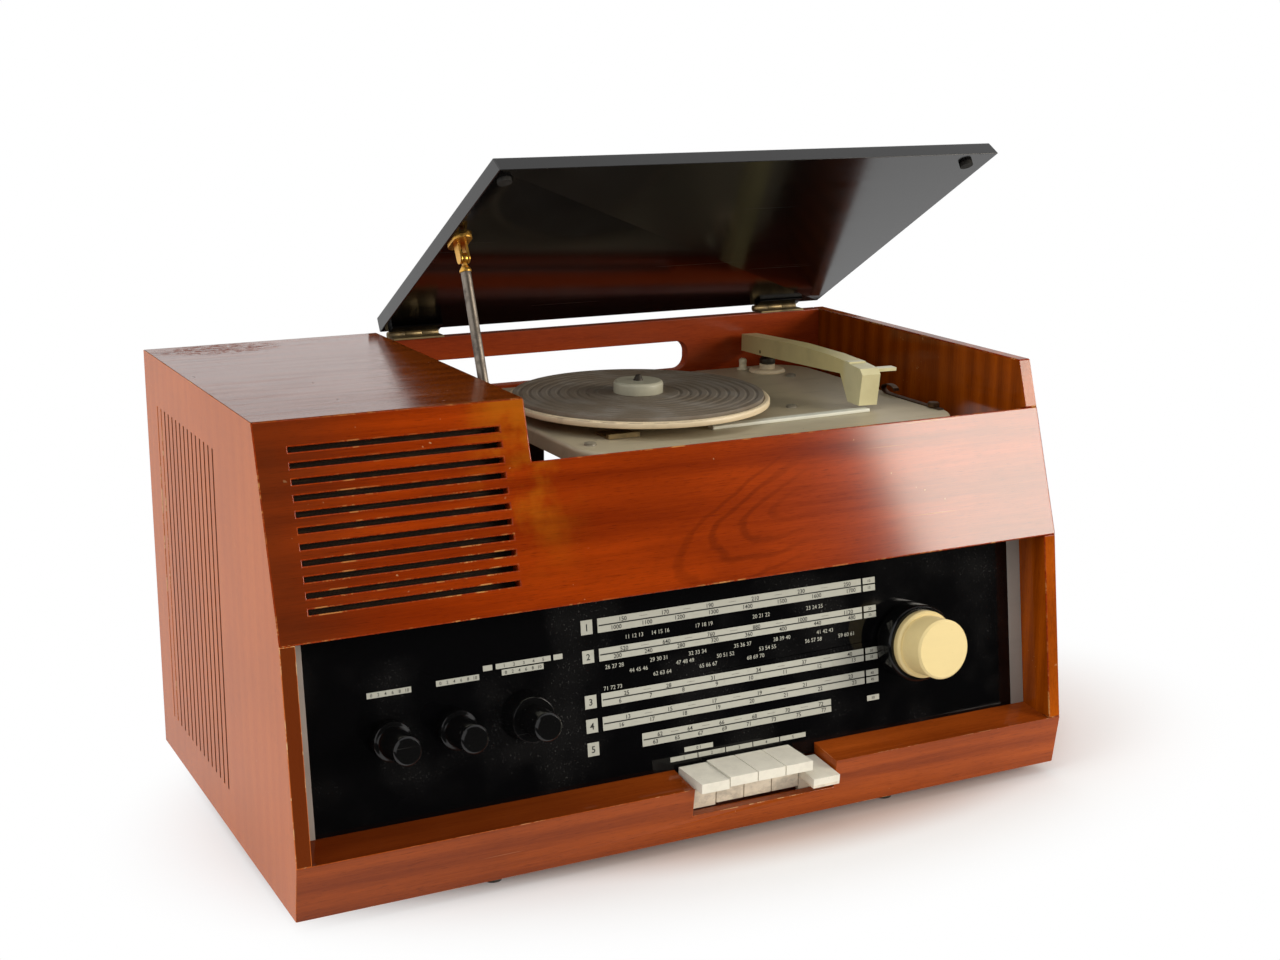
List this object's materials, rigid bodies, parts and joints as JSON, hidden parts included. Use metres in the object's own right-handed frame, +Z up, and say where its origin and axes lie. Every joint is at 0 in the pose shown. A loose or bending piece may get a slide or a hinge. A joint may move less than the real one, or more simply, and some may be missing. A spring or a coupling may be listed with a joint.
{
  "type": "radiogram",
  "caption": "Table radiogram: veneered cabinet with a leaning slotted front, a dial with knobs and piano keys below, and a record player under a propped black lid.",
  "frame": {"origin": "on the floor plane under the middle of the object's box", "axes": "+Z up, the dial faces -Y, +X to the right seen from the front"},
  "size_m": [0.59, 0.3606, 0.4648],
  "materials": {
    "front_veneer": "polished veneer",
    "side_veneer": "glossy veneer",
    "top_veneer": "glossy dark veneer",
    "inner_wood": "plain board",
    "hardboard": "hardboard",
    "rubber": "matt",
    "dial_glass": "black printed glass",
    "aluminium": "satin",
    "steel": "plated",
    "cream_plastic": "gloss",
    "ivory_plastic": "gloss",
    "black_plastic": "gloss",
    "lid_lacquer": "black lacquer",
    "brass": "worn",
    "rod_steel": "worn",
    "deck_enamel": "semi-gloss enamel",
    "platter_enamel": "cream enamel",
    "mat_rubber": "ribbed",
    "adaptor_plastic": "satin",
    "arm_plastic": "semi-gloss",
    "core": "lacquered laminations",
    "valve_glass": "clear",
    "cloth": "woven",
    "paper": "paper pulp",
    "cord": "braided",
    "drum_plastic": "moulded",
    "white_paint": "painted pointer"
  },
  "bodies": {
    "cabinet": {"front_panel": "front_veneer", "top_panel": "top_veneer", "lip_rail": "front_veneer", "left_side": "side_veneer", "right_side": "side_veneer", "base_board": "inner_wood", "partition": "inner_wood", "back_rail": "inner_wood", "back_cover": "hardboard", "mains_gland": "rubber", "feet": "rubber", "hinge_plates": "brass", "hinge_pins": "brass", "stay_guide": "steel", "deck_plate": "deck_enamel", "deck_screws": "rod_steel", "deck_rails": "inner_wood", "turntable_motor": "steel", "platter_spindle": "rod_steel", "arm_base": "deck_enamel", "arm_rest_bar": "aluminium", "dial_glass": "dial_glass", "dial_trims": "aluminium", "dial_plate": "steel", "potentiometers": "steel", "gang_capacitor": "aluminium", "dial_cord": "cord", "key_frame": "steel", "chassis": "steel", "transformers": "core", "valves": "valve_glass", "speaker_cloth": "cloth", "speaker_frame": "steel", "speaker_cone": "paper"},
    "lid": {"lid_panel": "lid_lacquer", "lid_buffers": "rubber", "lid_hinge_leaves": "brass", "stay_bracket": "brass"},
    "stay": {"stay_eye": "brass", "stay_rod": "rod_steel"},
    "turntable": {"platter": "platter_enamel", "platter_mat": "mat_rubber", "centre_adaptor": "adaptor_plastic"},
    "arm_swivel": {"arm_post": "rod_steel"},
    "arm": {"tonearm": "arm_plastic", "pickup_cartridge": "ivory_plastic"},
    "speed_slide": {"speed_lever": "brass"},
    "bass_control": {"bass_knob": "black_plastic"},
    "treble_control": {"treble_knob": "black_plastic"},
    "aerial_control": {"aerial_ring": "black_plastic"},
    "volume_control": {"volume_knob": "black_plastic"},
    "tuning_control": {"tuning_skirt": "black_plastic", "tuning_cap": "cream_plastic"},
    "drum": {"tuning_drum": "drum_plastic"},
    "pointer": {"dial_pointer": "white_paint"},
    "key_1_body": {"key_1": "ivory_plastic"},
    "key_2_body": {"key_2": "ivory_plastic"},
    "key_3_body": {"key_3": "ivory_plastic"},
    "key_4_body": {"key_4": "ivory_plastic"},
    "key_5_body": {"key_5": "ivory_plastic"}
  },
  "joints": [
    {"name": "lid_hinge", "type": "hinge", "parent": "cabinet", "child": "lid", "pos_m": [0, 0.1765, 0.3118], "axis": [-1, 0, 0], "range_deg": [-30.4, 0]},
    {"name": "stay_pivot", "type": "hinge", "parent": "lid", "child": "stay", "pos_m": [-0.103, 0.01902, 0.38999], "axis": [-1, 0, 0], "range_deg": [0, 39]},
    {"name": "platter_spin", "type": "hinge", "parent": "cabinet", "child": "turntable", "pos_m": [0.033, 0.015, 0.268], "axis": [0, 0, -1], "continuous": true},
    {"name": "arm_swing", "type": "hinge", "parent": "cabinet", "child": "arm_swivel", "pos_m": [0.207, 0.119, 0.268], "axis": [0, 0, -1], "range_deg": [0, 38]},
    {"name": "arm_lift", "type": "hinge", "parent": "arm_swivel", "child": "arm", "pos_m": [0.207, 0.119, 0.285], "axis": [-0.9962, 0.0872, 0], "range_deg": [0, 8.8]},
    {"name": "speed_slide", "type": "slide", "parent": "cabinet", "child": "speed_slide", "axis": [1, 0, 0], "range_m": [-0.006, 0.006]},
    {"name": "bass_turn", "type": "hinge", "parent": "cabinet", "child": "bass_control", "pos_m": [-0.221, -0.13289, 0.10632], "axis": [0, 0.9917, -0.1286], "range_deg": [-150, 150]},
    {"name": "treble_turn", "type": "hinge", "parent": "cabinet", "child": "treble_control", "pos_m": [-0.176, -0.13289, 0.10632], "axis": [0, 0.9917, -0.1286], "range_deg": [-150, 150]},
    {"name": "aerial_turn", "type": "hinge", "parent": "cabinet", "child": "aerial_control", "pos_m": [-0.126, -0.13289, 0.10632], "axis": [0, 0.9917, -0.1286], "range_deg": [-90, 90]},
    {"name": "volume_turn", "type": "hinge", "parent": "cabinet", "child": "volume_control", "pos_m": [-0.126, -0.13289, 0.10632], "axis": [0, 0.9917, -0.1286], "range_deg": [-150, 150]},
    {"name": "tuning_turn", "type": "hinge", "parent": "cabinet", "child": "tuning_control", "pos_m": [0.18, -0.13198, 0.11326], "axis": [0, 0.9917, -0.1286], "range_deg": [-1336.9, 1336.9]},
    {"name": "drum_turn", "type": "hinge", "parent": "cabinet", "child": "drum", "pos_m": [0.02, -0.11678, 0.11386], "axis": [0, 0.9917, -0.1286], "range_deg": [-140, 140]},
    {"name": "pointer_travel", "type": "slide", "parent": "cabinet", "child": "pointer", "axis": [1, 0, 0], "range_m": [-0.106, 0.106]},
    {"name": "key_1_press", "type": "hinge", "parent": "cabinet", "child": "key_1_body", "pos_m": [-0.0044, -0.023, 0.0375], "axis": [1, 0, 0], "range_deg": [-0.5, 4.7], "stiffness_Nm_per_rad": 0.25, "springref_deg": -4.58},
    {"name": "key_2_press", "type": "hinge", "parent": "cabinet", "child": "key_2_body", "pos_m": [0.0178, -0.023, 0.0375], "axis": [1, 0, 0], "range_deg": [0, 5.2], "stiffness_Nm_per_rad": 0.25, "springref_deg": -11.46},
    {"name": "key_3_press", "type": "hinge", "parent": "cabinet", "child": "key_3_body", "pos_m": [0.04, -0.023, 0.0375], "axis": [1, 0, 0], "range_deg": [0, 5.2], "stiffness_Nm_per_rad": 0.25, "springref_deg": -11.46},
    {"name": "key_4_press", "type": "hinge", "parent": "cabinet", "child": "key_4_body", "pos_m": [0.0622, -0.023, 0.0375], "axis": [1, 0, 0], "range_deg": [0, 5.2], "stiffness_Nm_per_rad": 0.25, "springref_deg": -11.46},
    {"name": "key_5_press", "type": "hinge", "parent": "cabinet", "child": "key_5_body", "pos_m": [0.0844, -0.023, 0.0375], "axis": [1, 0, 0], "range_deg": [-5.2, 0]}
  ],
  "couplings": [
    {"joint": "stay_pivot", "follows": "lid_hinge", "ratio": -1.27},
    {"joint": "arm_lift", "follows": "arm_swing", "ratio": 0.23},
    {"joint": "drum_turn", "follows": "tuning_turn", "ratio": 0.10345},
    {"joint": "pointer_travel", "follows": "tuning_turn", "m_per_rad": 0.0045}
  ]
}
